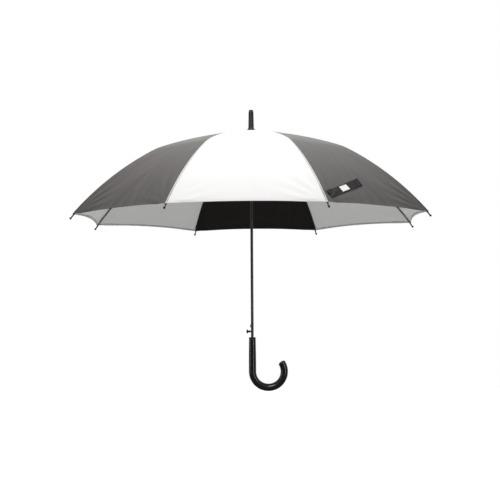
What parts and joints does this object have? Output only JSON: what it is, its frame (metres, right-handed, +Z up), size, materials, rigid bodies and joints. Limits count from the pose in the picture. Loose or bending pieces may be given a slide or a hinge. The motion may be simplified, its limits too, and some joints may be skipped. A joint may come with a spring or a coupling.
{
  "type": "stick umbrella",
  "caption": "Open automatic stick umbrella with a crook handle and a domed canopy of white and dark grey cloth panels on folding ribs.",
  "frame": {"origin": "on the shaft axis in the middle of the crook handle's straight grip, where a hand holds it", "axes": "+Z up the shaft towards the ferrule, +X towards the side that the hook bends to, so the push button faces -X"},
  "size_m": [0.9778, 0.9778, 0.8093],
  "materials": {
    "black_plastic": "gloss",
    "black_steel": "satin",
    "bright_steel": "satin",
    "fibreglass": "satin",
    "white_cloth": "matte",
    "dark_cloth": "matte",
    "hook_tape": "matte"
  },
  "bodies": {
    "frame": {"crook_handle": "black_plastic", "handle_collar": "black_plastic", "shaft": "black_steel", "notch": "black_plastic", "notch_wire": "bright_steel", "spring_seat": "black_plastic", "opening_spring": "bright_steel", "crown_washer": "dark_cloth", "rosette": "black_plastic", "ferrule": "black_plastic", "ferrule_cap": "black_plastic"},
    "button": {"push_button": "black_plastic"},
    "catch": {"catch_leaf": "bright_steel"},
    "runner": {"runner": "black_plastic", "runner_wire": "bright_steel"},
    "inner_rib_1": {"inner_rib_1": "black_steel", "canopy_panel_1": "white_cloth"},
    "outer_rib_1": {"outer_rib_1": "fibreglass", "tip_cap_1": "black_plastic"},
    "stretcher_1": {"stretcher_1": "black_steel"},
    "inner_rib_2": {"inner_rib_2": "black_steel", "canopy_panel_2": "white_cloth"},
    "outer_rib_2": {"outer_rib_2": "fibreglass", "tip_cap_2": "black_plastic"},
    "stretcher_2": {"stretcher_2": "black_steel"},
    "inner_rib_3": {"inner_rib_3": "black_steel", "canopy_panel_3": "dark_cloth"},
    "outer_rib_3": {"outer_rib_3": "fibreglass", "tip_cap_3": "black_plastic"},
    "stretcher_3": {"stretcher_3": "black_steel"},
    "inner_rib_4": {"inner_rib_4": "black_steel", "canopy_panel_4": "white_cloth"},
    "outer_rib_4": {"outer_rib_4": "fibreglass", "tip_cap_4": "black_plastic"},
    "stretcher_4": {"stretcher_4": "black_steel"},
    "inner_rib_5": {"inner_rib_5": "black_steel", "canopy_panel_5": "white_cloth"},
    "outer_rib_5": {"outer_rib_5": "fibreglass", "tip_cap_5": "black_plastic"},
    "stretcher_5": {"stretcher_5": "black_steel"},
    "inner_rib_6": {"inner_rib_6": "black_steel", "canopy_panel_6": "dark_cloth"},
    "outer_rib_6": {"outer_rib_6": "fibreglass", "tip_cap_6": "black_plastic"},
    "stretcher_6": {"stretcher_6": "black_steel"},
    "inner_rib_7": {"inner_rib_7": "black_steel", "canopy_panel_7": "white_cloth"},
    "outer_rib_7": {"outer_rib_7": "fibreglass", "tip_cap_7": "black_plastic", "strap": "dark_cloth", "strap_patch": "hook_tape", "strap_label": "white_cloth"},
    "stretcher_7": {"stretcher_7": "black_steel"},
    "inner_rib_8": {"inner_rib_8": "black_steel", "canopy_panel_8": "dark_cloth"},
    "outer_rib_8": {"outer_rib_8": "fibreglass", "tip_cap_8": "black_plastic"},
    "stretcher_8": {"stretcher_8": "black_steel"}
  },
  "joints": [
    {"name": "runner_slide", "type": "slide", "parent": "frame", "child": "runner", "axis": [0, 0, 1], "range_m": [-0.39685, 0], "stiffness_N_per_m": 60, "springref_m": 0.1, "deforming": ["opening_spring", "canopy_panel_1", "canopy_panel_2", "canopy_panel_3", "canopy_panel_4", "canopy_panel_5", "canopy_panel_6", "canopy_panel_7", "canopy_panel_8", "strap", "strap_patch", "strap_label"]},
    {"name": "button_press", "type": "slide", "parent": "frame", "child": "button", "axis": [1, 0, 0], "range_m": [0, 0.0017], "stiffness_N_per_m": 1500, "springref_m": -0.001},
    {"name": "catch_swing", "type": "hinge", "parent": "frame", "child": "catch", "pos_m": [-0.002, 0, 0.049], "axis": [0, 1, 0], "range_deg": [0, 5.4]},
    {"name": "inner_rib_1_fold", "type": "hinge", "parent": "frame", "child": "inner_rib_1", "pos_m": [0.00739, 0.00306, 0.64392], "axis": [-0.3827, 0.9239, 0], "range_deg": [0, 75.4]},
    {"name": "outer_rib_1_bend", "type": "hinge", "parent": "inner_rib_1", "child": "outer_rib_1", "pos_m": [0.25686, 0.10639, 0.58258], "axis": [-0.3827, 0.9239, 0], "range_deg": [-26.1, 0]},
    {"name": "stretcher_1_swing", "type": "hinge", "parent": "inner_rib_1", "child": "stretcher_1", "pos_m": [0.24863, 0.10298, 0.57947], "axis": [-0.3827, 0.9239, 0], "range_deg": [-149.13, 0]},
    {"name": "inner_rib_2_fold", "type": "hinge", "parent": "frame", "child": "inner_rib_2", "pos_m": [0.00306, 0.00739, 0.64392], "axis": [-0.9239, 0.3827, 0], "range_deg": [0, 75.4]},
    {"name": "outer_rib_2_bend", "type": "hinge", "parent": "inner_rib_2", "child": "outer_rib_2", "pos_m": [0.10639, 0.25686, 0.58258], "axis": [-0.9239, 0.3827, 0], "range_deg": [-26.1, 0]},
    {"name": "stretcher_2_swing", "type": "hinge", "parent": "inner_rib_2", "child": "stretcher_2", "pos_m": [0.10298, 0.24863, 0.57947], "axis": [-0.9239, 0.3827, 0], "range_deg": [-149.13, 0]},
    {"name": "inner_rib_3_fold", "type": "hinge", "parent": "frame", "child": "inner_rib_3", "pos_m": [-0.00306, 0.00739, 0.64392], "axis": [-0.9239, -0.3827, 0], "range_deg": [0, 75.4]},
    {"name": "outer_rib_3_bend", "type": "hinge", "parent": "inner_rib_3", "child": "outer_rib_3", "pos_m": [-0.10639, 0.25686, 0.58258], "axis": [-0.9239, -0.3827, 0], "range_deg": [-26.1, 0]},
    {"name": "stretcher_3_swing", "type": "hinge", "parent": "inner_rib_3", "child": "stretcher_3", "pos_m": [-0.10298, 0.24863, 0.57947], "axis": [-0.9239, -0.3827, 0], "range_deg": [-149.13, 0]},
    {"name": "inner_rib_4_fold", "type": "hinge", "parent": "frame", "child": "inner_rib_4", "pos_m": [-0.00739, 0.00306, 0.64392], "axis": [-0.3827, -0.9239, 0], "range_deg": [0, 75.4]},
    {"name": "outer_rib_4_bend", "type": "hinge", "parent": "inner_rib_4", "child": "outer_rib_4", "pos_m": [-0.25686, 0.10639, 0.58258], "axis": [-0.3827, -0.9239, 0], "range_deg": [-26.1, 0]},
    {"name": "stretcher_4_swing", "type": "hinge", "parent": "inner_rib_4", "child": "stretcher_4", "pos_m": [-0.24863, 0.10298, 0.57947], "axis": [-0.3827, -0.9239, 0], "range_deg": [-149.13, 0]},
    {"name": "inner_rib_5_fold", "type": "hinge", "parent": "frame", "child": "inner_rib_5", "pos_m": [-0.00739, -0.00306, 0.64392], "axis": [0.3827, -0.9239, 0], "range_deg": [0, 75.4]},
    {"name": "outer_rib_5_bend", "type": "hinge", "parent": "inner_rib_5", "child": "outer_rib_5", "pos_m": [-0.25686, -0.10639, 0.58258], "axis": [0.3827, -0.9239, 0], "range_deg": [-26.1, 0]},
    {"name": "stretcher_5_swing", "type": "hinge", "parent": "inner_rib_5", "child": "stretcher_5", "pos_m": [-0.24863, -0.10298, 0.57947], "axis": [0.3827, -0.9239, 0], "range_deg": [-149.13, 0]},
    {"name": "inner_rib_6_fold", "type": "hinge", "parent": "frame", "child": "inner_rib_6", "pos_m": [-0.00306, -0.00739, 0.64392], "axis": [0.9239, -0.3827, 0], "range_deg": [0, 75.4]},
    {"name": "outer_rib_6_bend", "type": "hinge", "parent": "inner_rib_6", "child": "outer_rib_6", "pos_m": [-0.10639, -0.25686, 0.58258], "axis": [0.9239, -0.3827, 0], "range_deg": [-26.1, 0]},
    {"name": "stretcher_6_swing", "type": "hinge", "parent": "inner_rib_6", "child": "stretcher_6", "pos_m": [-0.10298, -0.24863, 0.57947], "axis": [0.9239, -0.3827, 0], "range_deg": [-149.13, 0]},
    {"name": "inner_rib_7_fold", "type": "hinge", "parent": "frame", "child": "inner_rib_7", "pos_m": [0.00306, -0.00739, 0.64392], "axis": [0.9239, 0.3827, 0], "range_deg": [0, 75.4]},
    {"name": "outer_rib_7_bend", "type": "hinge", "parent": "inner_rib_7", "child": "outer_rib_7", "pos_m": [0.10639, -0.25686, 0.58258], "axis": [0.9239, 0.3827, 0], "range_deg": [-26.1, 0]},
    {"name": "stretcher_7_swing", "type": "hinge", "parent": "inner_rib_7", "child": "stretcher_7", "pos_m": [0.10298, -0.24863, 0.57947], "axis": [0.9239, 0.3827, 0], "range_deg": [-149.13, 0]},
    {"name": "inner_rib_8_fold", "type": "hinge", "parent": "frame", "child": "inner_rib_8", "pos_m": [0.00739, -0.00306, 0.64392], "axis": [0.3827, 0.9239, 0], "range_deg": [0, 75.4]},
    {"name": "outer_rib_8_bend", "type": "hinge", "parent": "inner_rib_8", "child": "outer_rib_8", "pos_m": [0.25686, -0.10639, 0.58258], "axis": [0.3827, 0.9239, 0], "range_deg": [-26.1, 0]},
    {"name": "stretcher_8_swing", "type": "hinge", "parent": "inner_rib_8", "child": "stretcher_8", "pos_m": [0.24863, -0.10298, 0.57947], "axis": [0.3827, 0.9239, 0], "range_deg": [-149.13, 0]}
  ],
  "couplings": [
    {"joint": "catch_swing", "follows": "button_press", "rad_per_m": 55.337},
    {"joint": "inner_rib_1_fold", "follows": "runner_slide", "rad_per_m": -3.316},
    {"joint": "outer_rib_1_bend", "follows": "runner_slide", "rad_per_m": 1.1478},
    {"joint": "stretcher_1_swing", "follows": "runner_slide", "rad_per_m": 6.5586},
    {"joint": "inner_rib_2_fold", "follows": "runner_slide", "rad_per_m": -3.316},
    {"joint": "outer_rib_2_bend", "follows": "runner_slide", "rad_per_m": 1.1478},
    {"joint": "stretcher_2_swing", "follows": "runner_slide", "rad_per_m": 6.5586},
    {"joint": "inner_rib_3_fold", "follows": "runner_slide", "rad_per_m": -3.316},
    {"joint": "outer_rib_3_bend", "follows": "runner_slide", "rad_per_m": 1.1478},
    {"joint": "stretcher_3_swing", "follows": "runner_slide", "rad_per_m": 6.5586},
    {"joint": "inner_rib_4_fold", "follows": "runner_slide", "rad_per_m": -3.316},
    {"joint": "outer_rib_4_bend", "follows": "runner_slide", "rad_per_m": 1.1478},
    {"joint": "stretcher_4_swing", "follows": "runner_slide", "rad_per_m": 6.5586},
    {"joint": "inner_rib_5_fold", "follows": "runner_slide", "rad_per_m": -3.316},
    {"joint": "outer_rib_5_bend", "follows": "runner_slide", "rad_per_m": 1.1478},
    {"joint": "stretcher_5_swing", "follows": "runner_slide", "rad_per_m": 6.5586},
    {"joint": "inner_rib_6_fold", "follows": "runner_slide", "rad_per_m": -3.316},
    {"joint": "outer_rib_6_bend", "follows": "runner_slide", "rad_per_m": 1.1478},
    {"joint": "stretcher_6_swing", "follows": "runner_slide", "rad_per_m": 6.5586},
    {"joint": "inner_rib_7_fold", "follows": "runner_slide", "rad_per_m": -3.316},
    {"joint": "outer_rib_7_bend", "follows": "runner_slide", "rad_per_m": 1.1478},
    {"joint": "stretcher_7_swing", "follows": "runner_slide", "rad_per_m": 6.5586},
    {"joint": "inner_rib_8_fold", "follows": "runner_slide", "rad_per_m": -3.316},
    {"joint": "outer_rib_8_bend", "follows": "runner_slide", "rad_per_m": 1.1478},
    {"joint": "stretcher_8_swing", "follows": "runner_slide", "rad_per_m": 6.5586}
  ]
}
